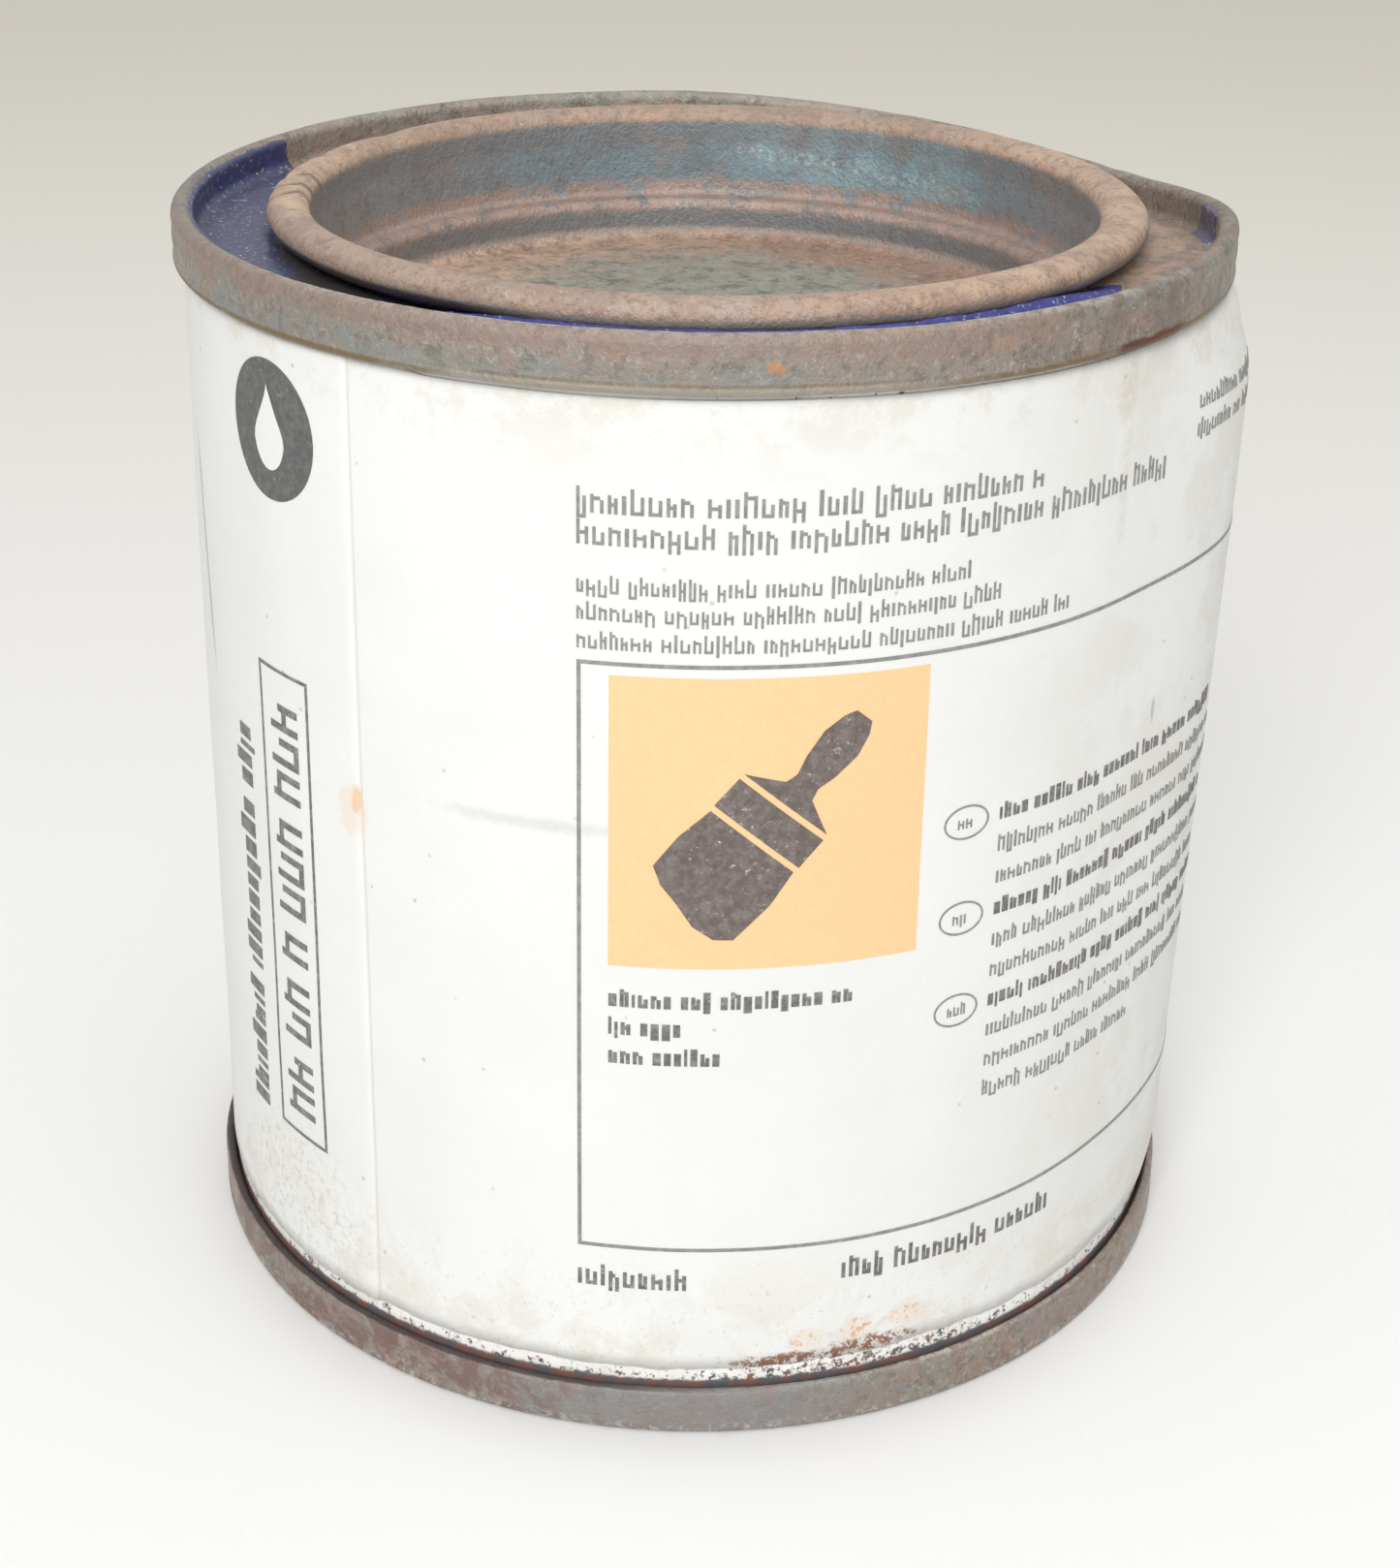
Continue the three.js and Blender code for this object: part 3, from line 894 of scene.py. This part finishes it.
def paper_material():
    """White paper: fibre, grime that creeps in from the edges, and a few rust marks."""
    s = Surface("label_paper_stained")
    brown = s.most(s.spot(12, 6.3, 5, 0.6, 1.2), s.spot(20.5, 6.8, 3.6, 0.7, 1.0))
    flecks = s.most(s.spot(13, 8.2, 1.3, 0.9, 1.2), s.spot(18.5, 8.6, 1.1, 1.1, 1.2))
    flecks = s.most(flecks, s.spot(24.5, 8.8, 1.6, 0.8, 1.2))
    drips = s.most(s.spot(47.5, 85.2, 1.2, 2.6, 1.4, 0.5), s.spot(63, 86.2, 2.0, 1.6, 1.4, 0.5))
    drips = s.most(drips, s.times(s.spot(48, 79, 0.6, 6, 1.4, 0.5), 0.6))
    # a painted shadow where the paper is creased, along a line that leans a little
    crease_shadow = s.scaled(s.minus(s.z, CREASE_MIDDLE), CREASE_LEAN, s.minus(s.theta, CREASE_ANGLE))
    crease_shadow = s.times(s.between(s.wave(crease_shadow, 4, 0.8), -0.9, -0.2, 0.1, 0.5), s.between(s.z, 54, 60, 72, 77))
    color = s.tints(
        s.mix(s.patches(25, 0.35, 0.65), (0.8, 0.805, 0.792), (0.77, 0.772, 0.754)),
        # grime: low down, on the left, along the top, on the right, and in specks
        ((0.66, 0.6, 0.49), s.band(s.z, 20, 5.5), (6, 0.46, 0.6, 0.74, 0.6), 0.4),
        ((0.5, 0.43, 0.32), s.spot(-52, 12, 9, 6, 2.5, 0.6), (0.7, 0.5, 0.6, 0.8), 0.45),
        ((0.64, 0.58, 0.47), s.band(s.z, 80, 89), (4, 0.48, 0.62, 0.76), 0.4),
        ((0.7, 0.67, 0.6), s.around(25, 60, 76, 100), (9, 0.44, 0.6, 0.72), 0.45),
        ((0.5, 0.36, 0.22), s.specks(3.1, 0.5), (11, 0.48, 0.58), 0.6),
        ((0.42, 0.33, 0.24), (0.45, 0.58, 0.66, 0.8), s.band(s.z, 22, 6), 0.45),
        # rust: brown along the edge at the right of the front, orange above it, a mark at the lap
        ((0.27, 0.12, 0.065), brown, (0.9, 0.46, 0.51, 0.8), 0.95),
        ((0.8, 0.64, 0.47), flecks, 0.35),
        ((0.62, 0.33, 0.15), flecks, (0.7, 0.52, 0.58, 0.8), 0.75),
        ((0.74, 0.42, 0.2), s.spot(LAP - 0.7, 52.5, 0.5, 1.2, 1.0), 0.7),
        ((0.8, 0.62, 0.44), s.spot(LAP - 1.4, 51.5, 1.3, 2.2, 1.5), 0.4),
        # a grey smudge, a small tear, drips, a darker line along the lapped edge, and a painted shadow where
        # the paper is creased
        ((0.55, 0.55, 0.53), s.spot(-16, 54.2, 6.5, 0.5, 2.5, 0.7), 0.45),
        ((0.45, 0.44, 0.41), s.spot(57.6, 56.2, 0.25, 1.0, 1.5), 0.7),
        ((0.62, 0.55, 0.44), drips, (1.2, 0.36, 0.56, 0.8), 0.5),
        ((0.62, 0.58, 0.5), s.around(LAP - 0.4, LAP - 0.08, LAP + 0.02, LAP + 0.15), 0.45),
        ((0.33, 0.33, 0.32), crease_shadow, 0.75),
    )
    fibre = s.noise(0.25)
    height = s.plus(s.times(fibre, 0.4), s.times(s.noise(5, 0.6), 2.2))
    return s.finish(color, s.scaled(fibre, 0.2, 0.5), 0.0, s.bump(height, 0.05), specular=0.35)


def ink(name, color, wear=0.5, paper=(0.8, 0.79, 0.76), faded=0.3):
    """Printed ink with paper showing through where it rubbed off."""
    s = Surface(name)
    rubbed = s.times(s.patches(0.5, 0.58, 0.68, 0.8), s.patches(4, 0.38, 0.6))
    color = s.tints(color, (paper, (0.8, 0.35, 0.75, 0.75), faded), (paper, rubbed, wear))
    return s.finish(color, 0.55, 0.0, s.bump(s.noise(0.3), 0.01), specular=0.3)


def sealant_material():
    """Dull grey sealing compound."""
    s = Surface("seam_compound_dull")
    grain = s.noise(0.6)
    return s.finish(s.mix(grain, (0.08, 0.08, 0.075), (0.14, 0.135, 0.12)), 0.8, 0.0, s.bump(grain, 0.03))


# ---- the pieces


def body_line():
    """The middle of the body's plate: a hook at each end of a straight wall."""
    foot, head, rows = FOLD_DEPTH, RIM_TOP - FOLD_DEPTH, 40
    heights = [foot + (SEAM_LOW - 0.3 - foot) * k / rows for k in range(1, rows + 1)]
    wall = [(BODY_WALL, z) for z in heights + [SEAM_LOW, SEAM_LOW + 1.2, SEAM_LOW + 2.4]]
    line = [(BODY_HOOK, SEAM_TALL - 1)] + arc(END_HOOK, foot, LAYER, 0, -180, 6)
    return line + wall + arc(END_HOOK, head, LAYER, 180, 0, 6) + [(BODY_HOOK, RIM_TOP - SEAM_TALL + 1)]


def ring_line():
    """The middle of the ring's plate: hem, friction wall, channel, and the fold of the upper seam."""
    wall = MOUTH_R + PLATE / 2
    hem, lip, corner = 0.45, 0.7, 1.0
    hem_z = WALL_LOW + hem + PLATE / 2
    floor = CHANNEL_FLOOR - PLATE / 2
    line = [(wall + 2 * hem, hem_z + 1.0)] + arc(wall + hem, hem_z, hem, 0, -180, 8)
    line += [(wall, hem_z + k) for k in (1.5, 3.0)]
    line += arc(wall + lip, floor - lip, lip, 180, 90, 5)
    reach = CHUCK_WALL - corner - wall - lip
    line += [(wall + lip + reach * k / 8, floor) for k in range(1, 8)]
    line += arc(CHUCK_WALL - corner, floor + corner, corner, -90, 0, 6)
    line += arc(END_HOOK, RIM_TOP - FOLD_DEPTH, SEAM_FOLD, 180, 0, 12)
    low_z = SEAM_LOW + HOOK_BEND
    bow, fold_z = 0.14, RIM_TOP - FOLD_DEPTH
    for k in range(1, 6):
        bowed = OUTER_WALL - bow * (1 - math.sin(math.pi * k / 6))
        line.append((bowed, fold_z + (SEAM_LOW + 0.95 - fold_z) * k / 6))
    line += [(OUTER_WALL - 0.05, SEAM_LOW + 0.8), (OUTER_WALL - 0.02, SEAM_LOW + 0.6)]
    line += arc(BODY_HOOK, low_z, LAYER, 0, -180, 8)
    return line + [(END_HOOK, RIM_TOP - 1.8)]


def end_line():
    """The middle of the bottom end's plate: a stepped panel, and the fold of the lower seam."""
    recess, step_r, corner = 4.2, 35.0, 0.8
    middle = recess - 1.0
    bend = SEAM_FOLD - 0.25
    low_z = bend + PLATE / 2
    line = [(0.01, middle), (12, middle), (24, middle), (step_r - 3, middle), (step_r - 2, middle + 0.35)]
    line += [(step_r - 1, recess - 0.1), (step_r, recess), (38, recess)]
    line += arc(CHUCK_WALL - corner, recess - corner, corner, 90, 0, 5)
    line += arc(CHUCK_WALL + bend, low_z, bend, 180, 270, 6)
    line += arc(OUTER_WALL - bend, low_z, bend, -90, 0, 6)
    top = SEAM_TALL - 0.3 - HOOK_BEND  # this seam is pressed a little flatter than its drawing
    line += [(OUTER_WALL, low_z + (top - low_z) * k / 5) for k in range(1, 5)]
    line += arc(BODY_HOOK, top, LAYER, 0, 180, 8)
    return line + [(END_HOOK, 1.8)]


def lid_line():
    """The middle of the lid's plate: panel, plug wall with a shoulder, and the curl."""
    panel = PANEL_LOW + PLATE / 2
    fillet, width, tall = 1.3, 1.65, 4.4
    bend, neck = width / 2, PLUG_R - width
    shoulder = panel + tall + PLATE / 2
    line = [(0.01, panel)] + [(3.0 * k, panel) for k in range(1, 10)]
    line += arc(neck - fillet, panel + fillet, fillet, -90, 0, 6)
    line += arc(neck + bend, shoulder - 2 * bend, bend, 180, 90, 5)
    line += arc(PLUG_R - bend, shoulder, bend, -90, 0, 5)[1:]
    line += [(PLUG_R, shoulder + k) for k in (1.0, 2.2, 3.4)]
    return line + arc(PLUG_R + CURL_HALF, CURL_MIDDLE, CURL_HALF, 180, -110, 30, (CURL_TALL - PLATE) / 2)


def film(name, material, path, start, end, thick, seed, fade):
    """Dried paint on a line of the ring (radius, height), from one angle to another.

    Its thickness falls below nothing at the edges, so that it dips into the metal with a ragged outline.
    """
    under = 0.12

    def outline_at(theta):
        ends = smooth(start, start + fade[0], theta) * (1 - smooth(end - fade[1], end, theta))
        top, bottom = [], []
        for j, (r, z) in enumerate(path):
            way = heading(path, j)
            inwards = min(j, len(path) - 1 - j) / 3
            grain = 1.1 * ripple(theta, 10 * r, 5, seed) + 0.5 * ripple(theta, 10 * r, 1.8, seed + 3)
            lift = clamp(thick * (clamp(inwards) * ends * 1.9 - 0.75 + grain), -0.1, thick)
            top.append(ring_warp(theta, r - way.y * lift, z + way.x * lift))
            bottom.append(ring_warp(theta, r + way.y * under, z - way.x * under))
        return top + bottom[::-1]

    return swept(name, outline_at, start, end, material)


def bead(name, material, start, end):
    """Paint that pooled in the channel and set against the lid's curl, which its inner side follows."""
    gap, sink = 0.06, 0.1  # sink takes the paint's thin edges below the channel's floor
    reach, tall = CURL_HALF + PLATE / 2 + gap, CURL_TALL / 2 + gap
    inner = arc(PLUG_R + CURL_HALF, CURL_MIDDLE, reach, -72, -21, 7, tall)
    crest_r, crest_z = inner[-1]
    falling = ((0.1, 0.99), (0.3, 0.75), (0.6, 0.48), (1.0, 0.25), (1.5, 0.1), (2.1, -0.1))
    slope = [(crest_r + out, CHANNEL_FLOOR + (crest_z - CHANNEL_FLOOR) * part) for out, part in falling]
    outline = [(inner[0][0] - 0.2, CHANNEL_FLOOR - 0.1)] + inner + slope

    def outline_at(theta):
        full = smooth(start, start + 34, theta) * (1 - smooth(end - 24, end, theta))
        full *= 0.92 + 0.1 * ripple(theta, 20, 4, 6.6) + 0.06 * ripple(theta, 20, 1.2, 1.6)
        shift = LID_SHIFT * math.sin(math.radians(theta))
        points = []
        for r, z in outline:
            level = CHANNEL_FLOOR + (z - CHANNEL_FLOOR) * full - sink * (1 - full)
            points.append((theta, r + shift, min(z, level)))
        return points

    return swept(name, outline_at, start, end, material)


def channel_path(inner, over):
    """The surface of the channel from a radius on its floor to an angle on the seam's inner fold."""
    corner = 1.0
    side = CHUCK_WALL - PLATE / 2
    floor_end = side - corner
    count = max(round((floor_end - inner) / 0.5), 1)
    path = [(inner + (floor_end - inner) * k / count, CHANNEL_FLOOR) for k in range(count)]
    path += arc(floor_end, CHANNEL_FLOOR + corner, corner, -90, 0, 4)
    fold = arc(END_HOOK, RIM_TOP - FOLD_DEPTH, FOLD_DEPTH, 180, over, 5)
    low_z, rise = path[-1][1], fold[0][1] - path[-1][1]
    return path + [(side, low_z + rise * k / 4) for k in range(1, 4)] + fold


def residue_outline():
    """The dried paint in the can: its underside clears the bottom end, and it climbs a little at the wall."""
    side, level = BODY_WALL - PLATE / 2 - 0.05, high("paint_residue") - 1.6
    under = [(0.01, 3.4), (31.5, 3.4), (33, 4.0), (34, 4.4), (36, 4.45), (side, 4.45)]
    climb = [(side, level + 1.5), (side - 0.6, level + 0.6), (side - 2.4, level + 0.05)]
    return under + climb + [(r, level) for r in (38, 34, 30, 25, 20, 15, 10, 5, 0.01)]


def residue_warp(theta, r, z):
    """The dried paint's upper side is uneven."""
    if z > 6:
        z += (0.5 * ripple(theta, r * 3, 9, 2.0) + 0.2 * ripple(theta, r * 3, 3, 5.0)) * smooth(0, 6, r)
    return theta, r, z


def keep(made, body, slot, *nodes):
    """Says which body a piece rides on and which CAD nodes it stands for. slot, what the piece is made of, is
    not used.
    """
    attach(made, body)
    if nodes:
        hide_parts(*nodes)


def build_tin():
    keep(turned("body_tube", plate(body_line()), lacquer(), body_warp), "can", "body_plate", "can_body")
    ring = turned("rim_ring", plate(ring_line()), rim_metal(), ring_warp)
    keep(ring, "can", "tinplate", "top_ring")
    end = turned("base_end", plate(end_line()), base_metal(), end_warp)
    keep(end, "can", "tinplate", "bottom_end")
    keep(turned("press_lid", plate(lid_line()), lid_metal(), lid_warp), "lid", "lid_plate", "lid")
    skin = indigo_paint("paint_skin_indigo", 0.4)
    residue = turned("paint_skin", residue_outline(), skin, residue_warp, 180)
    keep(residue, "can", "dried_paint", "paint_residue")
    sealant = sealant_material()
    near, far = FOLD_DEPTH + 0.2, 1.65  # depths inside the seam
    for name, node, start, way, warp in (
        ("compound_lower", "bottom_seam_compound", 0, 1, end_warp),
        ("compound_upper", "top_seam_compound", RIM_TOP, -1, ring_warp),
    ):
        corners = ((-1, near), (1, near), (1, far), (-1, far))
        outline = [(END_HOOK + side * PLATE / 2, start + way * depth) for side, depth in corners]
        keep(turned(name, outline, sealant, warp), "can", "seam_compound", node)


def build_paint():
    paint = indigo_paint("channel_indigo")
    left = film("dried_paint_left", paint, channel_path(CURL_R - 1.4, 120), -117, -50, 0.2, 1.0, (1.2, 22))
    keep(left, "can", "dried_paint", "channel_paint_left")
    faded = indigo_paint("channel_indigo_faded", 0.7, (0.05, 0.045, 0.085))
    right = film("dried_paint_right", faded, channel_path(41.6, 130), 84, 96, 0.2, 2.0, (2.5, 2.5))
    keep(right, "can", "dried_paint", "channel_paint_right")
    bright = indigo_paint("channel_indigo_line", 0.15, (0.035, 0.04, 0.19))
    keep(bead("dried_paint_front", bright, -52, 66), "can", "dried_paint")


def stick(name, shapes, material, lift=INK_LIFT):
    """Puts a layer of ink on the label."""
    keep(printed(name, shapes, material, lift), "can", "label_paper")


def build_label():
    keep(label_mesh(paper_material()), "can", "label_paper", "label")
    rng = random.Random(7)
    thin = ink("ink_grey", (0.225, 0.225, 0.215), 0.3, faded=0.22)
    bold = ink("ink_dark", (0.125, 0.12, 0.12), 0.6, faded=0.27)
    orange = ink("ink_orange", (0.93, 0.58, 0.3), 0.35, (0.92, 0.8, 0.64), faded=0.12)
    symbol = ink("ink_symbol", (0.13, 0.105, 0.095), 0.9, (0.62, 0.58, 0.55), faded=0.22)
    badge = ink("ink_badge", (0.1, 0.1, 0.1), 0.3, faded=0.1)
    white = ink("ink_reversed", (0.8, 0.8, 0.78), 0.2)
    left = -8.85
    bold_marks = []
    # head lines
    lines = words(rng, left, 27.2, 79.4, 1.95) + words(rng, left, 43.2, 77.0, 1.9)
    for end, base in ((21.5, 73.3), (24.0, 71.2), (30.7, 68.95)):
        lines += words(rng, left, end, base, 1.4)
    # ruled panel with three columns of small print beside the picture
    lines += frame_bars(left, left + 74, 17.2, 68.0, 0.3)
    for group, (marker, rows) in enumerate(((53.1, 3), (44.8, 3), (36.6, 4))):
        lines += ellipse_line(21.7, marker, 2.05, 1.45, 0.16)
        lines += words(rng, 20.9, 22.6, marker - 0.5, 1.1)
        for row in range(rows):
            last = 56 + 3 * rng.random() if group < 2 or row < 3 else 44.4
            target, bolder = (lines, 1.0) if row else (bold_marks, 1.5)
            target += words(rng, 24.8, last, marker - 0.45 - 2.76 * row, 1.4, bolder)
    # maker's lines at the upper right
    lines += words(rng, 46.8, 62, 81.1, 1.45) + words(rng, 46.7, 62, 78.8, 1.45)
    for end, base in ((12.8, 39.4), (-0.5, 36.95), (2.5, 34.4)):
        bold_marks += words(rng, -6.4, end, base, 1.5, 1.6)
    bold_marks += words(rng, left, 0.6, 13.5, 2.0, 1.2) + words(rng, 12.6, 34.4, 13.7, 2.0, 1.2)
    stick("label_print_fine", lines, thin)
    stick("label_print_bold", bold_marks, bold)
    stick("label_panel_orange", [bar(-6.45, 17.72, 42.95, 66.95)], orange)
    brush = [turn_shape(shape, 5.6, 55.2, -40, 0.86) for shape in brush_shapes()]
    stick("label_picture_brush", brush, symbol, 2 * INK_LIFT)
    # badge and upright writing on the left
    stick("label_badge", [ellipse(-36.95, 80.6, 5.6, 5.6, 48)], badge)
    drop = [(-36.95 + 2.9 * x, 80.3 + 2.9 * y) for x, y in drop_shape()]
    stick("label_badge_drop", [drop], white, 2 * INK_LIFT)
    box = frame_bars(-40.4, -33.4, 17.8, 60.7, 0.28)
    blocks, z = [], 2.2
    for group in (2, 2, 1, 3, 3):
        for _ in range(group):
            blocks += letter_mark(z, z + 2.3, 0, 3.9, 0.62, rng)
            z += 3.0
        z += 1.35
    box += upright(blocks, -34.9, 17.8)
    box += upright(words(rng, 0, 36.4, 0, 3.0, 1.7), -43.0, 17.6)
    stick("label_print_side", box, bold)


# ---- floor, light and camera


def build_stage():
    s = Surface("floor_pale")
    scratch = s.patches(3, 0.62, 0.72, 0.7, 0.0, s.join(s.x, s.times(s.y, 0.15), 0))
    color = s.mix(s.band(s.y, -120, 650), (0.84, 0.845, 0.847), (0.74, 0.708, 0.615))
    color = s.tints(color, ((0.6, 0.6, 0.58), scratch, 0.06))
    s.finish(color, 0.5, 0.0)
    half = 2.0
    verts = [Vector((x * half, y * half, 0)) for x, y in ((-1, -1), (1, -1), (1, 1), (-1, 1))]
    floor = new_object("floor", verts, [(0, 1, 2, 3)], s.material, False)
    world = bpy.data.worlds.new("soft_room")
    world.use_nodes = True
    background = world.node_tree.nodes["Background"]
    background.inputs["Color"].default_value = (1.0, 0.995, 0.985, 1)
    background.inputs["Strength"].default_value = 0.62
    bpy.context.scene.world = world
    lamps = (("key", (-0.1, -0.62, 0.55), 0.3, 3.7), ("top", (0.1, 0.15, 0.9), 0.8, 2.0))
    for name, place, size, power in lamps:
        lamp = bpy.data.lights.new(name, "AREA")
        lamp.size = size
        lamp.energy = power
        lamp.color = (1.0, 0.99, 0.975)
        light = add(name, lamp)
        light.location = place
        light.rotation_euler = (Vector((0, 0, 0.05)) - Vector(place)).to_track_quat("-Z", "Y").to_euler()


def build_camera():
    """A camera whose place, tilt, roll, lens and shift were fitted to the edges of both seams."""
    data = bpy.data.cameras.new("camera")
    data.sensor_width = 36
    data.lens = 60.78
    data.shift_y = -0.1044
    camera = add("camera", data)
    down, roll = math.radians(22.16), math.radians(0.951)
    ahead = Vector((0, math.cos(down), -math.sin(down)))
    right, up = Vector((1, 0, 0)), Vector((0, math.sin(down), math.cos(down)))
    turned_right = right * math.cos(roll) + up * math.sin(roll)
    turned_up = up * math.cos(roll) - right * math.sin(roll)
    turn = Matrix((turned_right, turned_up, -ahead)).transposed()
    camera.matrix_world = Matrix.Translation(Vector((0.147, -219.73, 143.38)) * MM) @ turn.to_4x4()
    bpy.context.scene.camera = camera
    bpy.context.scene.view_settings.view_transform = "Standard"


build_tin()
build_paint()
build_label()
build_stage()
build_camera()
